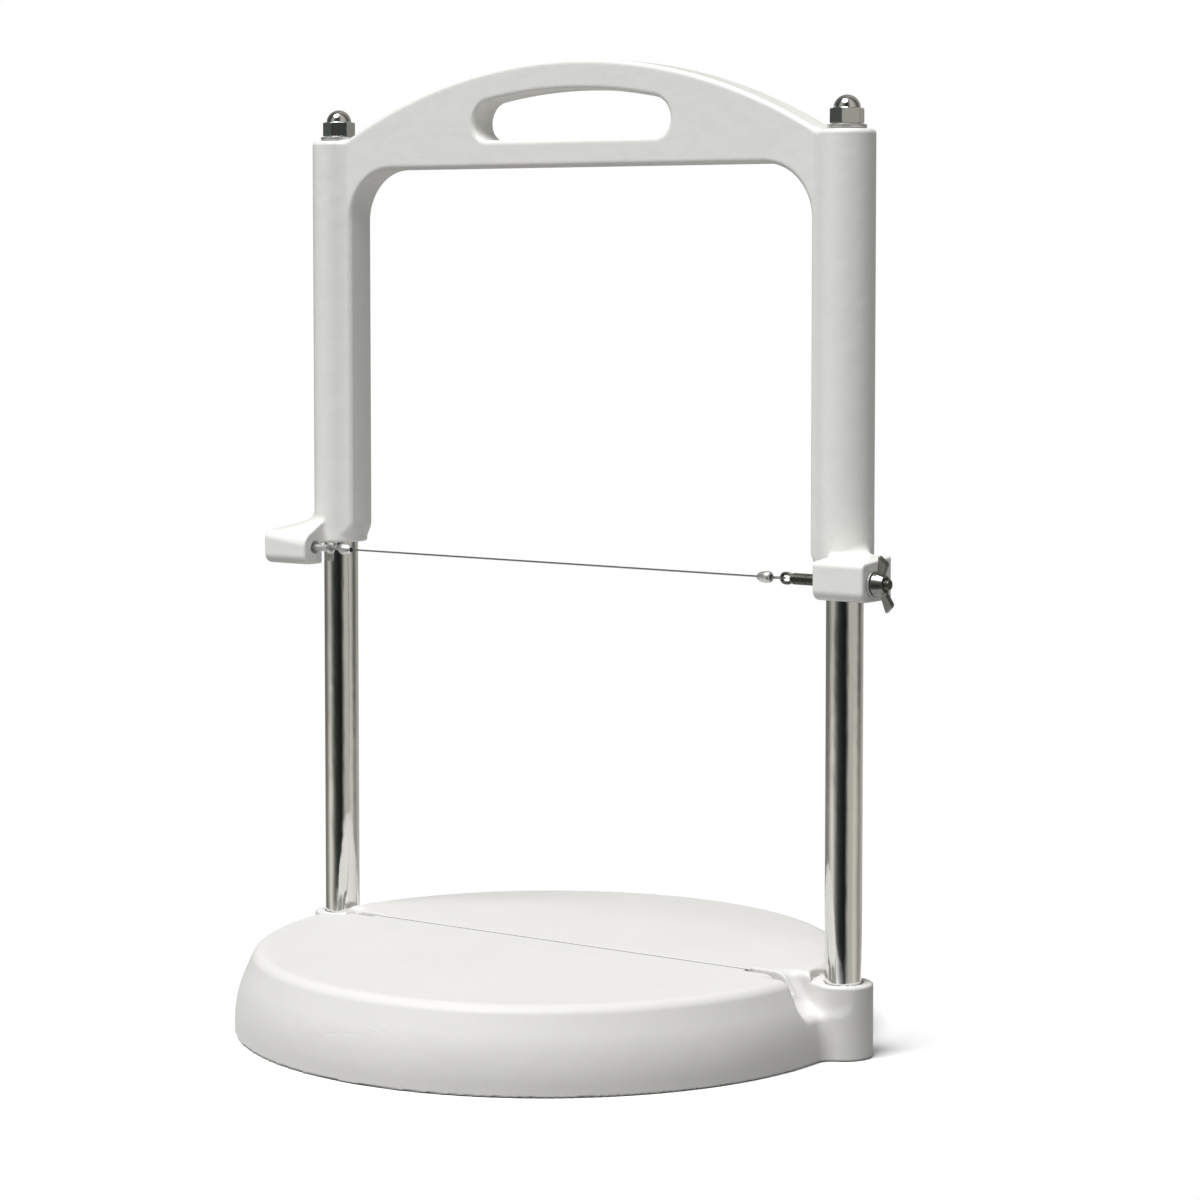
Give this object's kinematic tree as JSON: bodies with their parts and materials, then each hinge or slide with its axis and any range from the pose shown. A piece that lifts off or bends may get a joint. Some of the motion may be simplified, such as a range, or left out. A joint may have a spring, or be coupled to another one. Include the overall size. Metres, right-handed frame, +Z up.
{
  "type": "wire cheese cutter",
  "caption": "Tabletop wire cheese cutter: a sprung arch frame with a hand slot slides down steel posts on a round board and draws a taut wire through the cheese.",
  "frame": {"origin": "on the board's underside, midway between the two posts", "axes": "+Z up along the posts, X along the line through both posts, -Y towards the user"},
  "size_m": [0.339, 0.279, 0.4295],
  "materials": {
    "white_polyethylene": "satin moulded plastic",
    "white_enamel": "gloss white enamel on cast aluminium",
    "polished_steel": "polished stainless steel",
    "plated_steel": "bright plated steel",
    "screw_steel": "threaded steel",
    "spring_steel": "drawn spring wire",
    "wire_steel": "drawn stainless wire",
    "natural_nylon": "natural nylon"
  },
  "bodies": {
    "base_unit": {"base_board": "white_polyethylene", "left_post": "polished_steel", "right_post": "polished_steel", "left_guide_rod": "polished_steel", "right_guide_rod": "polished_steel", "left_return_spring": "spring_steel", "right_return_spring": "spring_steel", "left_foot_washer": "plated_steel", "right_foot_washer": "plated_steel", "left_foot_nut": "plated_steel", "right_foot_nut": "plated_steel", "left_stop_washer": "plated_steel", "right_stop_washer": "plated_steel", "left_acorn_nut": "polished_steel", "right_acorn_nut": "polished_steel"},
    "frame_unit": {"arch_frame": "white_enamel", "left_mouth_bush": "natural_nylon", "right_mouth_bush": "natural_nylon", "left_crown_bush": "natural_nylon", "right_crown_bush": "natural_nylon", "cutting_wire": "wire_steel", "left_ferrule": "plated_steel", "right_ferrule": "plated_steel", "wire_anchor": "plated_steel", "wing_washer": "plated_steel"},
    "wing_nut": {"wing_nut": "polished_steel"},
    "tension_screw": {"tension_screw": "screw_steel"}
  },
  "joints": [
    {"name": "frame_press", "type": "slide", "parent": "base_unit", "child": "frame_unit", "axis": [0, 0, -1], "range_m": [0, 0.175], "stiffness_N_per_m": 150, "springref_m": -0.16, "deforming": ["left_return_spring", "right_return_spring"]},
    {"name": "wing_nut_turn", "type": "hinge", "parent": "frame_unit", "child": "wing_nut", "pos_m": [0.1666, -0.0185, 0.206], "axis": [1, 0, 0], "range_deg": [0, 1080]},
    {"name": "tension_draw", "type": "slide", "parent": "frame_unit", "child": "tension_screw", "axis": [-1, 0, 0], "range_m": [0, 0.0024]}
  ],
  "couplings": [
    {"joint": "wing_nut_turn", "follows": "tension_draw", "rad_per_m": 7853.9}
  ]
}
